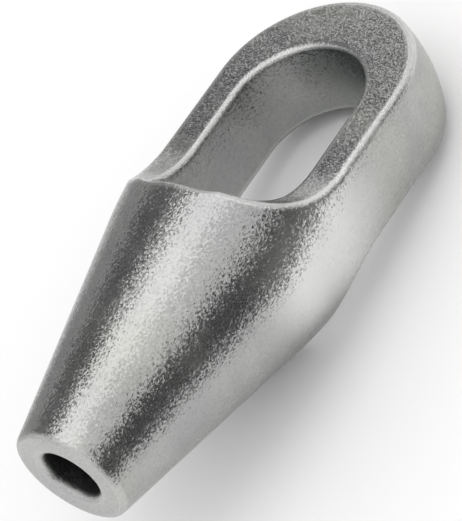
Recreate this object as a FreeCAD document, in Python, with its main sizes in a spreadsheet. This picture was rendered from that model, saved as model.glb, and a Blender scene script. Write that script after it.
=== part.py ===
import FreeCAD, Part
import math
import os
import Sketcher

# Closed wire rope socket, one steel forging, in millimetres.
# Each sketch is drawn with the socket upright: small end at the bottom, bail on top.
# The body's Placement then lays the socket down on its rim and crown, as it rests on a bench.

doc = FreeCAD.newDocument("wire_rope_socket")

# Driving sizes
sizes = doc.addObject("Spreadsheet::Sheet", "sizes")
values = [
    ("end_diameter", 27.8, "outside diameter of the small end"),
    ("basket_length", 63.5, "small end to basket mouth"),
    ("bail_width", 54.8, "across the bail at mid thickness"),
    ("rim_inset", 0.5, "the basket's round rim stands in from the outside of the bail"),
    ("cone_inset", 2.4, "the top of the cone stands in from the outside of the bail"),
    ("bail_thickness", 21.5, "front face to back face of the bail"),
    ("side_radius", 45.0, "slight bulge of the bail's outer side, from face to face"),
    ("eye_length", 58.1, "basket mouth to the inside of the crown"),
    ("leg_width", 10.4, "each leg, from the eye to the outside of the bail"),
    ("crown_thickness", 16.1, "inside of the crown to the tip"),
    ("shoulder_radius", 22.2, "hollow sweep from the basket rim up to each bail face"),
    ("flank_length", 11.0, "below the rim, where the cone starts to turn into the legs"),
    ("floor_radius", 12.0, "corners of the eye at the basket mouth"),
    ("rope_hole", 14.5, "hole for the rope at the small end"),
    ("throat_length", 7.0, "straight part of the rope hole"),
    ("mouth_wall", 11.5, "wall of the basket at its mouth"),
    ("ring_depth_from_mouth", 19.0, "basket mouth to the middle of the locking ring groove"),
    ("ring_width", 4.6, "width of the locking ring groove"),
    ("ring_depth", 1.6, "depth of the locking ring groove"),
    ("end_round", 1.2, "rounding outside the small end"),
    ("lip_round", 1.5, "rounding of the rope hole"),
    ("bail_round", 1.2, "rounding of the bail and rim edges"),
    ("mouth_round", 1.0, "rounding of the basket mouth"),
]
for row, (alias, number, meaning) in enumerate(values, start=1):
    sizes.set("A%d" % row, alias.replace("_", " "))
    sizes.set("B%d" % row, str(number))
    sizes.setAlias("B%d" % row, alias)
    sizes.set("C%d" % row, meaning)
doc.recompute()

# Levels and radii that follow from the sizes
derived = [
    ("end_radius", "=end_diameter / 2"),
    ("bail_half", "=bail_width / 2"),
    ("rim_radius", "=bail_half - rim_inset"),
    ("face_half", "=bail_thickness / 2"),
    ("eye_half", "=bail_half - leg_width"),
    ("hole_radius", "=rope_hole / 2"),
    ("mouth_radius", "=rim_radius - mouth_wall"),
    ("eye_top", "=basket_length + eye_length"),
    ("tip_level", "=eye_top + crown_thickness"),
    ("crown_centre", "=tip_level - bail_half"),
    ("arch_centre", "=eye_top - eye_half"),
    ("sweep_out", "=face_half + shoulder_radius"),
    ("rim_top", "=basket_length + 0.4"),
    ("sweep_level", "=rim_top + sqrt(shoulder_radius ^ 2 - (sweep_out - rim_radius) ^ 2)"),
    ("flank_level", "=basket_length - flank_length"),
    ("flank_rise", "=sweep_level - flank_level"),
    ("flank_radius", "=bail_half - cone_inset"),
    ("cone_slope", "=(flank_radius - end_radius) / flank_level"),
    ("extra_bulge", "=side_radius - bail_half"),
    ("joint_height", "=face_half * 1.2"),
]
for row, (alias, formula) in enumerate(derived, start=len(values) + 2):
    sizes.set("A%d" % row, alias.replace("_", " "))
    sizes.set("B%d" % row, formula)
    sizes.setAlias("B%d" % row, alias)
doc.recompute()

body = doc.addObject("PartDesign::Body", "socket_body")
body.Label = "socket_body"
doc.recompute()


def origin_plane(role):
    for feature in body.Origin.OriginFeatures:
        if feature.Role == role:
            return feature
    raise RuntimeError("no origin plane " + role)


def new_sketch(name, role):
    sketch = body.newObject("Sketcher::SketchObject", name)
    sketch.AttachmentSupport = [(origin_plane(role), "")]
    sketch.MapMode = "FlatFace"
    return sketch


def outline(sketch, points):
    """Closed chain of straight lines; returns the index of its first line."""
    first = sketch.GeometryCount
    count = len(points)
    for i in range(count):
        start = FreeCAD.Vector(points[i][0], points[i][1], 0)
        end = FreeCAD.Vector(points[(i + 1) % count][0], points[(i + 1) % count][1], 0)
        sketch.addGeometry(Part.LineSegment(start, end), False)
    for i in range(count):
        after = first + (i + 1) % count
        sketch.addConstraint(Sketcher.Constraint("Coincident", first + i, 2, after, 1))
    return first


def bind(sketch, kind, where, value, formula):
    """Adds one measured constraint and ties it to the sheet."""
    index = sketch.addConstraint(Sketcher.Constraint(kind, *where, value))
    sketch.setExpression("Constraints[%d]" % index, formula)


def edge_names(shape, wanted):
    names = []
    for number, edge in enumerate(shape.Edges, start=1):
        if not edge.Degenerated and wanted(edge):
            names.append("Edge%d" % number)
    return names


def middle(edge):
    return edge.valueAt((edge.FirstParameter + edge.LastParameter) / 2)


def crease(shape, edge):
    """Angle between the two faces that meet at the middle of an edge."""
    place = middle(edge)
    normals = []
    for face in shape.ancestorsOfType(edge, Part.Face):
        u, v = face.Surface.parameter(place)
        normals.append(face.normalAt(u, v))
    return normals[0].getAngle(normals[1]) if len(normals) == 2 else 0


def is_ring(edge, radius, level):
    curve = edge.Curve
    return (isinstance(curve, Part.Circle) and abs(curve.Radius - radius) < 1e-4
            and abs(curve.Center.z - level) < 1e-4 and abs(curve.Axis.z) > 0.999)


def add_fillet(name, base, names, alias):
    fillet = body.newObject("PartDesign::Fillet", name)
    fillet.Base = (base, names)
    fillet.setExpression("Radius", "sizes." + alias)
    doc.recompute()
    return fillet


# Basket: a cone turned about the axis, up to where it starts to turn into the legs
turned = new_sketch("turned_profile", "XZ_Plane")
outline(turned, [(0, 0), (sizes.end_radius, 0), (sizes.flank_radius, sizes.flank_level),
                 (0, sizes.flank_level)])
turned.addConstraint(Sketcher.Constraint("Coincident", 0, 1, -1, 1))
turned.addConstraint(Sketcher.Constraint("Horizontal", 0))
turned.addConstraint(Sketcher.Constraint("Horizontal", 2))
turned.addConstraint(Sketcher.Constraint("Vertical", 3))
bind(turned, "DistanceX", (-1, 1, 0, 2), sizes.end_radius, "sizes.end_radius")
bind(turned, "DistanceX", (-1, 1, 1, 2), sizes.flank_radius, "sizes.flank_radius")
bind(turned, "DistanceY", (-1, 1, 1, 2), sizes.flank_level, "sizes.flank_level")
outer = body.newObject("PartDesign::Revolution", "turned_cone")
outer.Profile = turned
outer.ReferenceAxis = (turned, ["V_Axis"])
outer.Angle = 360
doc.recompute()


def oval(name, level, half, bulge):
    """Cross section across the axis: two side arcs that pass smoothly into a front and a back arc."""
    section = new_sketch(name, "XY_Plane")
    section.setExpression("AttachmentOffset.Base.z", level)
    doc.recompute()
    half_value = section.evalExpression(half)
    bulge_value = section.evalExpression(bulge)
    height = float(sizes.joint_height)
    hub = half_value - bulge_value
    turn = math.asin(height / bulge_value)
    corner = hub + bulge_value * math.cos(turn)
    rise = -hub * math.tan(turn)
    reach = math.hypot(corner, height - rise)
    swing = math.atan2(height - rise, corner)
    axis = FreeCAD.Vector(0, 0, 1)
    right = Part.Circle(FreeCAD.Vector(hub, 0, 0), axis, bulge_value)
    front = Part.Circle(FreeCAD.Vector(0, rise, 0), axis, reach)
    left = Part.Circle(FreeCAD.Vector(-hub, 0, 0), axis, bulge_value)
    back = Part.Circle(FreeCAD.Vector(0, -rise, 0), axis, reach)
    section.addGeometry(Part.ArcOfCircle(right, -turn, turn), False)
    section.addGeometry(Part.ArcOfCircle(front, swing, math.pi - swing), False)
    section.addGeometry(Part.ArcOfCircle(left, math.pi - turn, math.pi + turn), False)
    section.addGeometry(Part.ArcOfCircle(back, math.pi + swing, 2 * math.pi - swing), False)
    for i in range(4):
        joined = "Coincident" if half == bulge else "Tangent"
        section.addConstraint(Sketcher.Constraint(joined, i, 2, (i + 1) % 4, 1))
    section.addConstraint(Sketcher.Constraint("PointOnObject", 0, 3, -1))
    section.addConstraint(Sketcher.Constraint("PointOnObject", 2, 3, -1))
    section.addConstraint(Sketcher.Constraint("Equal", 0, 2))
    bind(section, "Radius", (0,), bulge_value, bulge)
    bind(section, "DistanceY", (-1, 1, 0, 2), height, "sizes.joint_height")
    bind(section, "DistanceY", (2, 2, -1, 1), height, "sizes.joint_height")
    if half == bulge:
        section.addConstraint(Sketcher.Constraint("PointOnObject", 0, 3, -2))
        section.addConstraint(Sketcher.Constraint("PointOnObject", 2, 3, -2))
        section.addConstraint(Sketcher.Constraint("PointOnObject", 1, 3, -1))
        section.addConstraint(Sketcher.Constraint("PointOnObject", 3, 3, -1))
        bind(section, "DistanceY", (-1, 1, 2, 1), height, "sizes.joint_height")
        bind(section, "DistanceY", (0, 1, -1, 1), height, "sizes.joint_height")
    else:
        bind(section, "DistanceX", (0, 3, -1, 1), -hub, "(%s) - (%s)" % (bulge, half))
        bind(section, "DistanceX", (-1, 1, 2, 3), -hub, "(%s) - (%s)" % (bulge, half))
    return section


# Flank: round at the cone, and flatter and straighter at the legs
cone_at = "sizes.end_radius + sizes.cone_slope * (%s)"
at_start = "sizes.flank_level"
near_start = "sizes.flank_level + sizes.flank_rise * 0.06"
near_end = "sizes.flank_level + sizes.flank_rise * 0.94"
sections = [
    oval("flank_start", at_start, cone_at % at_start, cone_at % at_start),
    oval("flank_cone", near_start, cone_at % near_start, cone_at % near_start),
    oval("flank_rim", "sizes.flank_level + sizes.flank_rise * 0.3",
         "sizes.rim_radius", "sizes.rim_radius + sizes.extra_bulge * 0.01"),
    oval("flank_middle", "sizes.flank_level + sizes.flank_rise * 0.52",
         "sizes.bail_half - sizes.rim_inset * 0.4", "sizes.bail_half + sizes.extra_bulge * 0.2"),
    oval("flank_upper", "sizes.flank_level + sizes.flank_rise * 0.76",
         "sizes.bail_half", "sizes.bail_half + sizes.extra_bulge * 0.7"),
    oval("flank_leg", near_end, "sizes.bail_half", "sizes.side_radius"),
    oval("leg_section", "sizes.sweep_level", "sizes.bail_half", "sizes.side_radius"),
]
flank = body.newObject("PartDesign::AdditiveLoft", "flank")
flank.Profile = sections[0]
flank.Sections = sections[1:]
flank.Ruled = False
doc.recompute()
legs = body.newObject("PartDesign::Pad", "legs")
legs.Profile = sections[-1]
legs.setExpression("Length", "sizes.crown_centre - sizes.sweep_level")
doc.recompute()

# Crown: the same side arc turned half a circle about the middle of the bail's round end
crown_sketch = new_sketch("crown_section", "XY_Plane")
crown_sketch.setExpression("AttachmentOffset.Base.z", "sizes.crown_centre")
doc.recompute()
height = float(sizes.joint_height)
hub = float(sizes.bail_half - sizes.side_radius)
turn = math.asin(height / sizes.side_radius)
corner = hub + sizes.side_radius * math.cos(turn)
side_arc = Part.Circle(FreeCAD.Vector(hub, 0, 0), FreeCAD.Vector(0, 0, 1), sizes.side_radius)
crown_sketch.addGeometry(Part.ArcOfCircle(side_arc, -turn, turn), False)
crown_sketch.addGeometry(Part.LineSegment(FreeCAD.Vector(corner, height, 0), FreeCAD.Vector(0, height, 0)), False)
crown_sketch.addGeometry(Part.LineSegment(FreeCAD.Vector(0, height, 0), FreeCAD.Vector(0, -height, 0)), False)
crown_sketch.addGeometry(Part.LineSegment(FreeCAD.Vector(0, -height, 0), FreeCAD.Vector(corner, -height, 0)), False)
crown_sketch.addConstraint(Sketcher.Constraint("Coincident", 0, 2, 1, 1))
crown_sketch.addConstraint(Sketcher.Constraint("Coincident", 1, 2, 2, 1))
crown_sketch.addConstraint(Sketcher.Constraint("Coincident", 2, 2, 3, 1))
crown_sketch.addConstraint(Sketcher.Constraint("Coincident", 3, 2, 0, 1))
crown_sketch.addConstraint(Sketcher.Constraint("Horizontal", 1))
crown_sketch.addConstraint(Sketcher.Constraint("PointOnObject", 1, 2, -2))
crown_sketch.addConstraint(Sketcher.Constraint("Vertical", 2))
crown_sketch.addConstraint(Sketcher.Constraint("Horizontal", 3))
crown_sketch.addConstraint(Sketcher.Constraint("PointOnObject", 0, 3, -1))
bind(crown_sketch, "Radius", (0,), sizes.side_radius, "sizes.side_radius")
bind(crown_sketch, "DistanceX", (0, 3, -1, 1), -hub, "sizes.side_radius - sizes.bail_half")
bind(crown_sketch, "DistanceY", (-1, 1, 0, 2), height, "sizes.joint_height")
crown = body.newObject("PartDesign::Revolution", "crown")
crown.Profile = crown_sketch
crown.ReferenceAxis = (crown_sketch, ["V_Axis"])
crown.Angle = 180
crown.Reversed = True
doc.recompute()

# Front and back of the bail: a hollow sweep from the rim up to each flat face
far_side = sizes.bail_half + sizes.shoulder_radius
face_half = float(sizes.face_half)
sweep_level = float(sizes.sweep_level)
over_tip = float(sizes.tip_level + sizes.bail_half)
low_level = sweep_level - sizes.shoulder_radius
sides = new_sketch("bail_faces", "YZ_Plane")
for side in (1, -1):
    first = sides.GeometryCount
    corner = [(face_half * side, sweep_level), (face_half * side, over_tip),
              (far_side * side, over_tip), (far_side * side, low_level),
              (sizes.sweep_out * side, low_level)]
    for (x0, y0), (x1, y1) in zip(corner, corner[1:]):
        sides.addGeometry(Part.LineSegment(FreeCAD.Vector(x0, y0, 0), FreeCAD.Vector(x1, y1, 0)), False)
    hub = FreeCAD.Vector(sizes.sweep_out * side, sweep_level, 0)
    sweep = Part.Circle(hub, FreeCAD.Vector(0, 0, 1), sizes.shoulder_radius)
    if side > 0:
        sides.addGeometry(Part.ArcOfCircle(sweep, math.pi, 1.5 * math.pi), False)
    else:
        sides.addGeometry(Part.ArcOfCircle(sweep, 1.5 * math.pi, 2 * math.pi), False)
    arc = first + 4
    for i in range(3):
        sides.addConstraint(Sketcher.Constraint("Coincident", first + i, 2, first + i + 1, 1))
    sides.addConstraint(Sketcher.Constraint("Coincident", first + 3, 2, arc, 2 if side > 0 else 1))
    sides.addConstraint(Sketcher.Constraint("Coincident", first, 1, arc, 1 if side > 0 else 2))
    sides.addConstraint(Sketcher.Constraint("Vertical", first))
    sides.addConstraint(Sketcher.Constraint("Horizontal", first + 1))
    sides.addConstraint(Sketcher.Constraint("Vertical", first + 2))
    sides.addConstraint(Sketcher.Constraint("Vertical", arc, 2 if side > 0 else 1, arc, 3))
    sign = "" if side > 0 else "-"
    bind(sides, "DistanceX", (-1, 1, first, 1), face_half * side, sign + "sizes.face_half")
    bind(sides, "DistanceY", (-1, 1, first, 1), sweep_level, "sizes.sweep_level")
    bind(sides, "DistanceX", (-1, 1, arc, 3), sizes.sweep_out * side, sign + "sizes.sweep_out")
    bind(sides, "DistanceY", (-1, 1, arc, 3), sweep_level, "sizes.sweep_level")
    bind(sides, "DistanceY", (-1, 1, first + 3, 1), low_level, "sizes.sweep_level - sizes.shoulder_radius")
    bind(sides, "DistanceX", (-1, 1, first + 3, 1), far_side * side,
         sign + "(sizes.bail_half + sizes.shoulder_radius)")
    bind(sides, "DistanceY", (-1, 1, first + 1, 1), over_tip, "sizes.tip_level + sizes.bail_half")
flats = body.newObject("PartDesign::Pocket", "bail_flats")
flats.Profile = sides
flats.Type = "ThroughAll"
flats.Midplane = True
doc.recompute()

# Eye between the legs, round at the crown and flat at the basket mouth
eye = new_sketch("eye_outline", "XZ_Plane")
corner_radius = sizes.floor_radius
eye_half = float(sizes.eye_half)
mouth_level = sizes.basket_length
arch_level = float(sizes.arch_centre)
eye.addGeometry(Part.LineSegment(FreeCAD.Vector(eye_half, mouth_level + corner_radius, 0),
                                 FreeCAD.Vector(eye_half, arch_level, 0)), False)
arch = Part.Circle(FreeCAD.Vector(0, arch_level, 0), FreeCAD.Vector(0, 0, 1), eye_half)
eye.addGeometry(Part.ArcOfCircle(arch, 0, math.pi), False)
eye.addGeometry(Part.LineSegment(FreeCAD.Vector(-eye_half, arch_level, 0),
                                 FreeCAD.Vector(-eye_half, mouth_level + corner_radius, 0)), False)
left = Part.Circle(FreeCAD.Vector(-eye_half + corner_radius, mouth_level + corner_radius, 0),
                   FreeCAD.Vector(0, 0, 1), corner_radius)
eye.addGeometry(Part.ArcOfCircle(left, math.pi, 1.5 * math.pi), False)
eye.addGeometry(Part.LineSegment(FreeCAD.Vector(-eye_half + corner_radius, mouth_level, 0),
                                 FreeCAD.Vector(eye_half - corner_radius, mouth_level, 0)), False)
right = Part.Circle(FreeCAD.Vector(eye_half - corner_radius, mouth_level + corner_radius, 0),
                    FreeCAD.Vector(0, 0, 1), corner_radius)
eye.addGeometry(Part.ArcOfCircle(right, 1.5 * math.pi, 2 * math.pi), False)
eye.addConstraint(Sketcher.Constraint("Tangent", 0, 2, 1, 1))
eye.addConstraint(Sketcher.Constraint("Tangent", 1, 2, 2, 1))
eye.addConstraint(Sketcher.Constraint("Tangent", 2, 2, 3, 1))
eye.addConstraint(Sketcher.Constraint("Tangent", 3, 2, 4, 1))
eye.addConstraint(Sketcher.Constraint("Tangent", 4, 2, 5, 1))
eye.addConstraint(Sketcher.Constraint("Tangent", 5, 2, 0, 1))
eye.addConstraint(Sketcher.Constraint("Vertical", 0))
eye.addConstraint(Sketcher.Constraint("Vertical", 2))
eye.addConstraint(Sketcher.Constraint("Horizontal", 4))
eye.addConstraint(Sketcher.Constraint("PointOnObject", 1, 3, -2))
eye.addConstraint(Sketcher.Constraint("Equal", 3, 5))
bind(eye, "Radius", (1,), eye_half, "sizes.eye_half")
bind(eye, "Radius", (3,), corner_radius, "sizes.floor_radius")
bind(eye, "DistanceY", (-1, 1, 1, 3), arch_level, "sizes.arch_centre")
bind(eye, "DistanceY", (-1, 1, 4, 1), mouth_level, "sizes.basket_length")
opening = body.newObject("PartDesign::Pocket", "eye")
opening.Profile = eye
opening.Type = "ThroughAll"
opening.Midplane = True
doc.recompute()

# Rounded edges of the bail and of the basket rim, in front, behind and around the eye
def on_bail_edge(edge):
    m = middle(edge)
    around = m.z > mouth_level - 0.5 and abs(m.y) > face_half - 0.01
    return around and crease(opening.Shape, edge) > 0.2


bail_rounds = add_fillet("bail_edge_rounds", opening, edge_names(opening.Shape, on_bail_edge), "bail_round")
rounded_volume = bail_rounds.Shape.Volume

# Hollow inside: straight rope hole, then the tapered basket that opens into the eye
hole_radius = float(sizes.hole_radius)
mouth_radius = float(sizes.mouth_radius)
mouth_top = mouth_level + sizes.floor_radius
hollow = new_sketch("basket_cavity", "XZ_Plane")
flare_radius = mouth_radius + sizes.mouth_round
flare_level = mouth_level - sizes.mouth_round
chain = [(flare_radius, mouth_level), (flare_radius, mouth_top), (0, mouth_top), (0, -1),
         (hole_radius, -1), (hole_radius, sizes.throat_length), (mouth_radius, flare_level)]
for (x0, y0), (x1, y1) in zip(chain, chain[1:]):
    hollow.addGeometry(Part.LineSegment(FreeCAD.Vector(x0, y0, 0), FreeCAD.Vector(x1, y1, 0)), False)
flare = Part.Circle(FreeCAD.Vector(flare_radius, flare_level, 0), FreeCAD.Vector(0, 0, 1), sizes.mouth_round)
hollow.addGeometry(Part.ArcOfCircle(flare, math.pi / 2, math.pi), False)
for i in range(6):
    hollow.addConstraint(Sketcher.Constraint("Coincident", i, 2, i + 1, 2 if i == 5 else 1))
hollow.addConstraint(Sketcher.Constraint("Coincident", 6, 1, 0, 1))
hollow.addConstraint(Sketcher.Constraint("Vertical", 0))
hollow.addConstraint(Sketcher.Constraint("Horizontal", 1))
hollow.addConstraint(Sketcher.Constraint("PointOnObject", 1, 2, -2))
hollow.addConstraint(Sketcher.Constraint("PointOnObject", 2, 2, -2))
hollow.addConstraint(Sketcher.Constraint("Horizontal", 3))
hollow.addConstraint(Sketcher.Constraint("Vertical", 4))
hollow.addConstraint(Sketcher.Constraint("Vertical", 6, 1, 6, 3))
hollow.addConstraint(Sketcher.Constraint("Horizontal", 6, 2, 6, 3))
bind(hollow, "DistanceY", (-1, 1, 2, 2), -1, "-1")
bind(hollow, "DistanceX", (-1, 1, 4, 2), hole_radius, "sizes.hole_radius")
bind(hollow, "DistanceY", (-1, 1, 4, 2), sizes.throat_length, "sizes.throat_length")
bind(hollow, "DistanceX", (-1, 1, 5, 2), mouth_radius, "sizes.mouth_radius")
bind(hollow, "DistanceY", (-1, 1, 0, 1), mouth_level, "sizes.basket_length")
bind(hollow, "DistanceY", (-1, 1, 0, 2), mouth_top, "sizes.basket_length + sizes.floor_radius")
bind(hollow, "Radius", (6,), sizes.mouth_round, "sizes.mouth_round")
cavity = body.newObject("PartDesign::Groove", "basket_cavity_cut")
cavity.Profile = hollow
cavity.ReferenceAxis = (hollow, ["V_Axis"])
cavity.Angle = 360
doc.recompute()
cavity_volume = cavity.Shape.Volume

# Shallow groove around the basket wall that keeps the poured cone from turning
ring_level = mouth_level - sizes.ring_depth_from_mouth
taper = (mouth_radius - hole_radius) / (flare_level - sizes.throat_length)
wall_radius = hole_radius + taper * (ring_level - sizes.throat_length)
RING = "sizes.basket_length - sizes.ring_depth_from_mouth"
WALL = ("sizes.hole_radius + (sizes.mouth_radius - sizes.hole_radius)"
        " / (sizes.basket_length - sizes.mouth_round - sizes.throat_length)"
        " * (sizes.basket_length - sizes.ring_depth_from_mouth - sizes.throat_length)")
ring = new_sketch("locking_ring_groove", "XZ_Plane")
low = ring_level - sizes.ring_width / 2
high = ring_level + sizes.ring_width / 2
inner = wall_radius - sizes.ring_depth
bottom = wall_radius + sizes.ring_depth
outline(ring, [(inner, low), (bottom, low), (bottom, high), (inner, high)])
ring.addConstraint(Sketcher.Constraint("Horizontal", 0))
ring.addConstraint(Sketcher.Constraint("Vertical", 1))
ring.addConstraint(Sketcher.Constraint("Horizontal", 2))
ring.addConstraint(Sketcher.Constraint("Vertical", 3))
bind(ring, "DistanceX", (-1, 1, 0, 1), inner, WALL + " - sizes.ring_depth")
bind(ring, "DistanceX", (-1, 1, 1, 1), bottom, WALL + " + sizes.ring_depth")
bind(ring, "DistanceY", (-1, 1, 0, 1), low, RING + " - sizes.ring_width / 2")
bind(ring, "DistanceY", (-1, 1, 2, 1), high, RING + " + sizes.ring_width / 2")
ring_cut = body.newObject("PartDesign::Groove", "locking_ring_cut")
ring_cut.Profile = ring
ring_cut.ReferenceAxis = (ring, ["V_Axis"])
ring_cut.Angle = 360
doc.recompute()
ring_volume = ring_cut.Shape.Volume


# Small end: rounded outer corner and rounded lip where the rope goes in
end = add_fillet("end_round", ring_cut,
                 edge_names(ring_cut.Shape, lambda e: is_ring(e, float(sizes.end_radius), 0)), "end_round")
lip = add_fillet("lip_round", end,
                 edge_names(end.Shape, lambda e: is_ring(e, hole_radius, 0)), "lip_round")
body.Tip = lip
doc.recompute()

# Rest: it lies with one bail face down, on the lowest two points of its side view
points, facets = body.Shape.tessellate(0.02)
side_view = sorted((p.z, p.y) for p in points)
under = []
for point in side_view:
    while len(under) > 1:
        (x0, y0), (x1, y1) = under[-2], under[-1]
        if (x1 - x0) * (point[1] - y0) - (y1 - y0) * (point[0] - x0) > 0:
            break
        under.pop()
    under.append(point)
balance = body.Shape.CenterOfGravity.z
for (x0, y0), (x1, y1) in zip(under, under[1:]):
    if x0 <= balance <= x1:
        rear, front = (x0, y0), (x1, y1)
slope = math.atan2(front[1] - rear[1], front[0] - rear[0])

upright_to_lying = FreeCAD.Rotation(FreeCAD.Vector(0, 1, 0), FreeCAD.Vector(0, 0, 1),
                                    FreeCAD.Vector(1, 0, 0), "ZXY")
tilt = FreeCAD.Rotation(FreeCAD.Vector(0, 1, 0), math.degrees(slope))
turn = tilt.multiply(upright_to_lying)
lying = body.Shape.copy()
lying.Placement = FreeCAD.Placement(FreeCAD.Vector(0, 0, 0), turn)
box = lying.optimalBoundingBox()
body.Placement = FreeCAD.Placement(FreeCAD.Vector(-(box.XMin + box.XMax) / 2, 0, -box.ZMin), turn)
doc.recompute()

failed = [item.Label for item in doc.Objects if "Invalid" in item.State or "Error" in item.State]
if failed:
    raise RuntimeError("failed objects: " + ", ".join(failed))
if not cavity_volume < rounded_volume - 1000 or not ring_volume < cavity_volume - 50:
    raise RuntimeError("the cavity or its groove cut nothing")
if body.Shape.isNull() or not body.Shape.isValid() or len(body.Shape.Solids) != 1:
    raise RuntimeError("socket_body is not one valid solid")

os.makedirs("parts", exist_ok=True)
body.Shape.exportStep("parts/socket_body.step")
print("volume %.1f mm3, mass %.3f kg" % (body.Shape.Volume, body.Shape.Volume * 7.85e-6))
print("placed at", body.Placement.Base, "tilted %.6f degrees" % math.degrees(slope))
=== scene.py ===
import math

import bpy
from mathutils import Euler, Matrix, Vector

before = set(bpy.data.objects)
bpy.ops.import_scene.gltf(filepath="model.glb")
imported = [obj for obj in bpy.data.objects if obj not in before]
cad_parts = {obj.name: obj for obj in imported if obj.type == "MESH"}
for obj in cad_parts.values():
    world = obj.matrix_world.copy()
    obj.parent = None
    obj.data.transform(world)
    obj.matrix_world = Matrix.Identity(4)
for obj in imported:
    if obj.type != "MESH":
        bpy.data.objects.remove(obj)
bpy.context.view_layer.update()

# Lengths in metres, angles in degrees

# Camera, fitted to the outlines in the photo
CAMERA_PLACE = (-0.21083, -0.44479, 0.52880)
CAMERA_TURN = (34.1779, 29.8859, -61.3865)
SENSOR_WIDTH = 0.036
FOCAL_PIXELS = 3121.13
PHOTO_WIDTH = 462

# Where the socket's own axis lies in the frame: its small end and its tilt
END_PLACE = (-0.066343, 0, 0.039803)
AXIS_TILT = 12.4838

# Zinc: two greys, a faint beige and a dark speck; then painted light: a painted reflection on the
# shoulders, worn edges with a painted highlight, and painted shade in recesses, under the crown
# and in the hollow
GREY_DARK = (0.40, 0.405, 0.40, 1)
GREY_LIGHT = (0.49, 0.49, 0.48, 1)
BEIGE = (0.47, 0.455, 0.40, 1)
SPECK = (0.20, 0.205, 0.20, 1)
SHOULDER_PAINTED_REFLECTION = (0.74, 0.74, 0.73, 1)
EDGE_WEAR_AND_HIGHLIGHT = (0.95, 0.95, 0.94, 1)
RECESS_PAINTED_SHADE = (0.10, 0.12, 0.105, 1)
CROWN_PAINTED_SHADE = (0.07, 0.09, 0.08, 1)
HOLLOW_PAINTED_SHADE = (0.06, 0.065, 0.06, 1)

# Noise scales, per metre
MOTTLE_SCALE = 55
CLOUD_SCALE = 24
SPECKLE_SCALE = 1500
FINE_SCALE = 3400
WAVE_SCALE = 330
FACET_SCALE = 2300
FACET_TURN = 0.18
BUMP_DISTANCE = 0.00009
EDGE_RADIUS = 0.0022
SHADE_DISTANCE = 0.03

# Along the socket's axis: the lip, the basket's mouth and the shoulders with their painted
# reflection
LIP = (0.0004, 0.0022)
MOUTH = (0.0650, 0.0640)
RIM = (0.0625, 0.0655)
SHOULDER_FROM = (0.040, 0.062)
SHOULDER_TO = (0.100, 0.072)
SHOULDER_WIDE = (0.00046, 0.00072)

# The line midway between the basket's wall and its outside: slope, start, softness
MIDWAY_SLOPE = 0.17
MIDWAY_START = 0.0103
MIDWAY_SOFT = 0.0006

# Painted shade on the inside of the crown, in the socket's own axes
CROWN_SHADE_CENTRE = (0.1205, -0.002, 0.006)
CROWN_SHADE_REACH = (0.018, 0.003)

# Studio
CENTRE = Vector((0, 0, 0.027))
WORLD_LEVEL = 0.96
FLOOR_SIZE = 8.0
FLOOR_DROP = 0.0002
FLOOR_LEVEL = 0.97
CLOTH_LIFT = 0.001
CLOTH_WIDTH = 2.4


def link(tree, source, target):
    tree.links.new(source, target)


def new_node(tree, kind, **settings):
    node = tree.nodes.new(kind)
    for name, value in settings.items():
        setattr(node, name, value)
    return node


def fill(tree, sockets, values):
    """Set each input to its value, or link it to another node's output."""
    for socket, value in zip(sockets, values):
        if isinstance(value, (int, float, tuple)):
            socket.default_value = value
        elif value is not None:
            link(tree, value, socket)


def number(tree, operation, first, second=None, third=None):
    node = new_node(tree, "ShaderNodeMath", operation=operation)
    fill(tree, node.inputs, (first, second, third))
    return node.outputs[0]


def vector(tree, operation, first, second=None, third=None):
    node = new_node(tree, "ShaderNodeVectorMath", operation=operation)
    fill(tree, node.inputs, (first, second, third))
    return node.outputs["Value" if operation in ("DOT_PRODUCT", "DISTANCE") else "Vector"]


def noise(tree, place, scale, detail=2, roughness=0.5):
    node = new_node(tree, "ShaderNodeTexNoise")
    node.inputs["Scale"].default_value = scale
    node.inputs["Detail"].default_value = detail
    node.inputs["Roughness"].default_value = roughness
    link(tree, place, node.inputs["Vector"])
    return node.outputs["Fac"]


def spread(tree, value, low, high, to_low=0.0, to_high=1.0):
    """Smooth step from low to high."""
    node = new_node(tree, "ShaderNodeMapRange", interpolation_type="SMOOTHSTEP")
    node.inputs["From Min"].default_value = low
    node.inputs["From Max"].default_value = high
    node.inputs["To Min"].default_value = to_low
    node.inputs["To Max"].default_value = to_high
    link(tree, value, node.inputs["Value"])
    return node.outputs["Result"]


def blend(tree, factor, first, second):
    """Colour mix; the colours are tuples or other nodes' outputs."""
    node = new_node(tree, "ShaderNodeMix", data_type="RGBA")
    fill(tree, (node.inputs["Factor"], node.inputs[6], node.inputs[7]), (factor, first, second))
    return node.outputs[2]


def own_axes(tree, place):
    """Position along the rope (X), across the bail (Y) and through its thickness (Z)."""
    own = new_node(tree, "ShaderNodeMapping", vector_type="TEXTURE")
    own.inputs["Location"].default_value = END_PLACE
    own.inputs["Rotation"].default_value = (0, math.radians(AXIS_TILT), 0)
    link(tree, place, own.inputs["Vector"])
    return own.outputs["Vector"]


def hollow_mask(tree, along, radius):
    """One inside the basket: within the midway line, below the mouth and past the lip."""
    midway = number(tree, "MULTIPLY_ADD", along, MIDWAY_SLOPE, MIDWAY_START)
    inside = spread(tree, number(tree, "SUBTRACT", midway, radius), 0.0, MIDWAY_SOFT)
    ends = number(tree, "MULTIPLY", spread(tree, along, *MOUTH), spread(tree, along, *LIP))
    return number(tree, "MULTIPLY", inside, ends)


def shoulder_reflection_mask(tree, along, across):
    """One on the shoulders, where they stand out furthest, for a painted reflection of the floor.
    """
    ends = number(tree, "MULTIPLY",
                  spread(tree, along, *SHOULDER_FROM), spread(tree, along, *SHOULDER_TO))
    return number(tree, "MULTIPLY", spread(tree, across, *SHOULDER_WIDE), ends)


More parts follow.
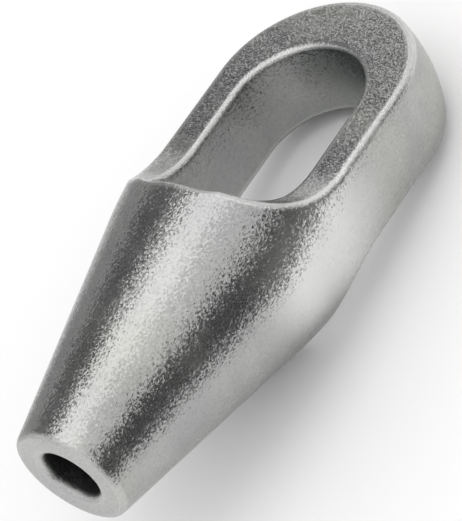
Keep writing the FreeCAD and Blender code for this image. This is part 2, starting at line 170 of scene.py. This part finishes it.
def crown_shade_mask(tree, own, normal):
    """One under the crown, on the eye's wall and not on the bail's flat faces, for a painted
    shade.
    """
    tilt = math.radians(AXIS_TILT)
    crown_shade = spread(tree, vector(tree, "DISTANCE", own, CROWN_SHADE_CENTRE), *CROWN_SHADE_REACH, 0, 0.75)
    flat = vector(tree, "DOT_PRODUCT", normal, (math.sin(tilt), 0, math.cos(tilt)))
    wall = spread(tree, number(tree, "ABSOLUTE", flat), 0.85, 0.40)
    return number(tree, "MULTIPLY", crown_shade, wall)


def grain(tree, place, normal, edge_wear_and_highlight):
    """Blasted grain: small facets, each turned a little its own way, less on the worn,
    highlighted edges.
    """
    facets = new_node(tree, "ShaderNodeTexVoronoi")
    facets.inputs["Scale"].default_value = FACET_SCALE
    link(tree, place, facets.inputs["Vector"])
    turned = vector(tree, "MULTIPLY_ADD", facets.outputs["Color"],
                    (FACET_TURN,) * 3, (-FACET_TURN / 2,) * 3)
    smoother = new_node(tree, "ShaderNodeVectorMath", operation="SCALE")
    link(tree, turned, smoother.inputs[0])
    link(tree, number(tree, "MULTIPLY_ADD", edge_wear_and_highlight, -0.8, 1.0), smoother.inputs["Scale"])
    grained = vector(tree, "ADD", smoother.outputs["Vector"], normal)
    return vector(tree, "NORMALIZE", grained)


# Zinc-coated forging: blasted grain and soft mottling, worn edges with a painted highlight, a
# painted reflection on the shoulders, painted shade in recesses and under the crown, and a hollow
# with painted shade and more roughness
def galvanised_steel():
    material = bpy.data.materials.new("galvanised_steel")
    material.use_nodes = True
    tree = material.node_tree
    shader = tree.nodes["Principled BSDF"]
    shader.inputs["Metallic"].default_value = 1.0

    place = new_node(tree, "ShaderNodeTexCoord").outputs["Object"]
    own = own_axes(tree, place)
    parts = new_node(tree, "ShaderNodeSeparateXYZ")
    link(tree, own, parts.inputs["Vector"])
    along = parts.outputs["X"]
    across = number(tree, "POWER", parts.outputs["Y"], 2)
    through = number(tree, "POWER", parts.outputs["Z"], 2)
    radius = number(tree, "SQRT", number(tree, "ADD", across, through))
    hollow = hollow_mask(tree, along, radius)

    mottle = noise(tree, place, MOTTLE_SCALE, 4, 0.6)
    clouds = noise(tree, place, CLOUD_SCALE)
    speckle = noise(tree, place, SPECKLE_SCALE, 1)
    fine = noise(tree, place, FINE_SCALE, 1)

    # Worn edges with a painted highlight: where the rounded normal leaves the true one
    true = new_node(tree, "ShaderNodeNewGeometry").outputs["Normal"]
    rounding = new_node(tree, "ShaderNodeBevel", samples=6)
    rounding.inputs["Radius"].default_value = EDGE_RADIUS
    rounded = rounding.outputs["Normal"]
    edge_wear_and_highlight = spread(tree, vector(tree, "DOT_PRODUCT", rounded, true), 0.998, 0.965)
    edge_wear_and_highlight = number(tree, "MULTIPLY", edge_wear_and_highlight, spread(tree, along, *RIM, 0.35, 1))

    # Painted shade where the surface is enclosed
    shelter = new_node(tree, "ShaderNodeAmbientOcclusion", samples=6)
    shelter.inputs["Distance"].default_value = SHADE_DISTANCE
    recess_shade = spread(tree, shelter.outputs["AO"], 0.75, 0.25, 0, 0.55)

    colour = blend(tree, spread(tree, mottle, 0.35, 0.68), GREY_DARK, GREY_LIGHT)
    layers = (
        (spread(tree, clouds, 0.5, 0.75, 0, 0.35), BEIGE),
        (spread(tree, speckle, 0.28, 0.58, 0.22, 0), SPECK),
        # painted reflection of the floor on the shoulders
        (shoulder_reflection_mask(tree, along, across), SHOULDER_PAINTED_REFLECTION),
        # edge wear, with a painted highlight along the edges
        (edge_wear_and_highlight, EDGE_WEAR_AND_HIGHLIGHT),
        # painted shade in enclosed places
        (recess_shade, RECESS_PAINTED_SHADE),
        # painted shade under the crown
        (crown_shade_mask(tree, own, true), CROWN_PAINTED_SHADE),
        # painted shade inside the basket
        (number(tree, "MULTIPLY", hollow, 0.8), HOLLOW_PAINTED_SHADE),
    )
    for amount, coat in layers:
        colour = blend(tree, amount, colour, coat)
    link(tree, colour, shader.inputs["Base Color"])

    rough = spread(tree, mottle, 0.3, 0.7, 0.21, 0.30)
    rough = number(tree, "MULTIPLY_ADD", hollow, 0.25, rough)
    link(tree, rough, shader.inputs["Roughness"])

    height = number(tree, "MULTIPLY_ADD", fine, 0.35, speckle)
    height = number(tree, "MULTIPLY_ADD", noise(tree, place, WAVE_SCALE), 0.5, height)
    bump = new_node(tree, "ShaderNodeBump")
    bump.inputs["Strength"].default_value = 1.0
    bump.inputs["Distance"].default_value = BUMP_DISTANCE
    link(tree, height, bump.inputs["Height"])
    link(tree, rounded, bump.inputs["Normal"])
    link(tree, grain(tree, place, bump.outputs["Normal"], edge_wear_and_highlight), shader.inputs["Normal"])
    return material


steel = galvanised_steel()
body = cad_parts["socket_body"]
for slot in body.material_slots:
    slot.material = steel
if not body.material_slots:
    body.data.materials.append(steel)


# Camera at the photograph's angle
camera_data = bpy.data.cameras.new("camera")
camera_data.sensor_fit = "HORIZONTAL"
camera_data.sensor_width = SENSOR_WIDTH * 1000
camera_data.lens = FOCAL_PIXELS * SENSOR_WIDTH * 1000 / PHOTO_WIDTH
camera_data.clip_start = 0.01
camera_data.clip_end = 20
camera = bpy.data.objects.new("camera", camera_data)
camera.location = CAMERA_PLACE
camera.rotation_euler = Euler([math.radians(a) for a in CAMERA_TURN], "XYZ")
bpy.context.scene.collection.objects.link(camera)
bpy.context.scene.camera = camera


# Studio: a world that is white behind the object and softer as light on it
def white_world(level):
    world = bpy.data.worlds.new("studio")
    world.use_nodes = True
    tree = world.node_tree
    back = tree.nodes["Background"]
    back.inputs["Color"].default_value = (level, level, level, 1)
    seen = new_node(tree, "ShaderNodeBackground")
    seen.inputs["Color"].default_value = (1, 1, 1, 1)
    path = new_node(tree, "ShaderNodeLightPath")
    either = number(tree, "MAXIMUM", path.outputs["Is Camera Ray"], path.outputs["Is Glossy Ray"])
    every = number(tree, "MAXIMUM", either, path.outputs["Is Transmission Ray"])
    mix = new_node(tree, "ShaderNodeMixShader")
    link(tree, every, mix.inputs["Fac"])
    link(tree, back.outputs[0], mix.inputs[1])
    link(tree, seen.outputs[0], mix.inputs[2])
    link(tree, mix.outputs[0], tree.nodes["World Output"].inputs["Surface"])
    bpy.context.scene.world = world


def plain_material(name, level):
    material = bpy.data.materials.new(name)
    material.use_nodes = True
    shader = material.node_tree.nodes["Principled BSDF"]
    shader.inputs["Base Color"].default_value = (level, level, level, 1)
    shader.inputs["Roughness"].default_value = 0.9
    shader.inputs["Specular IOR Level"].default_value = 0.1
    return material


def panel(name, centre, facing, width, height, material):
    """Flat rectangle that faces a point."""
    mesh = bpy.data.meshes.new(name)
    x, y = width / 2, height / 2
    mesh.from_pydata([(-x, -y, 0), (x, -y, 0), (x, y, 0), (-x, y, 0)], [], [(0, 1, 2, 3)])
    obj = bpy.data.objects.new(name, mesh)
    obj.location = centre
    obj.rotation_euler = (Vector(facing) - Vector(centre)).to_track_quat("Z", "Y").to_euler()
    mesh.materials.append(material)
    bpy.context.scene.collection.objects.link(obj)
    return obj


def only_in_metal(obj):
    obj.visible_camera = False
    obj.visible_shadow = False
    obj.visible_diffuse = False


def card(name, direction, distance, width, height, level):
    """Grey card that the metal reflects, as a photographer's flag."""
    place = CENTRE + Vector(direction).normalized() * distance
    only_in_metal(panel(name, place, CENTRE, width, height, plain_material(name, level)))


def cloth(name, y, depth, level):
    """Grey cloth on the table, beside the object, that the metal reflects."""
    only_in_metal(panel(name, (0, y, CLOTH_LIFT), (0, y, 1), CLOTH_WIDTH, depth,
                        plain_material(name, level)))


def softbox(name, direction, distance, width, height, power):
    data = bpy.data.lights.new(name, "AREA")
    data.shape = "RECTANGLE"
    data.size = width
    data.size_y = height
    data.energy = power
    obj = bpy.data.objects.new(name, data)
    obj.location = CENTRE + Vector(direction).normalized() * distance
    obj.rotation_euler = (CENTRE - obj.location).to_track_quat("-Z", "Y").to_euler()
    bpy.context.scene.collection.objects.link(obj)


white_world(WORLD_LEVEL)
panel("floor", (0, 0, -FLOOR_DROP), (0, 0, 1), FLOOR_SIZE, FLOOR_SIZE,
      plain_material("floor_white", FLOOR_LEVEL))
card("card_far", (0.17, 0.72, 0.68), 1.2, 1.5, 0.95, 0.15)
card("card_back", (0.28, 0.95, 0.14), 1.3, 1.7, 0.34, 0.30)
card("card_near", (0.10, -0.96, 0.24), 1.2, 2.6, 0.66, 0.08)
cloth("cloth_near", -0.55, 0.85, 0.11)
cloth("cloth_far", 0.70, 1.10, 0.32)
softbox("key", (0.22, -0.04, 0.96), 1.2, 0.70, 1.5, 2.4)

bpy.context.scene.view_settings.view_transform = "Standard"
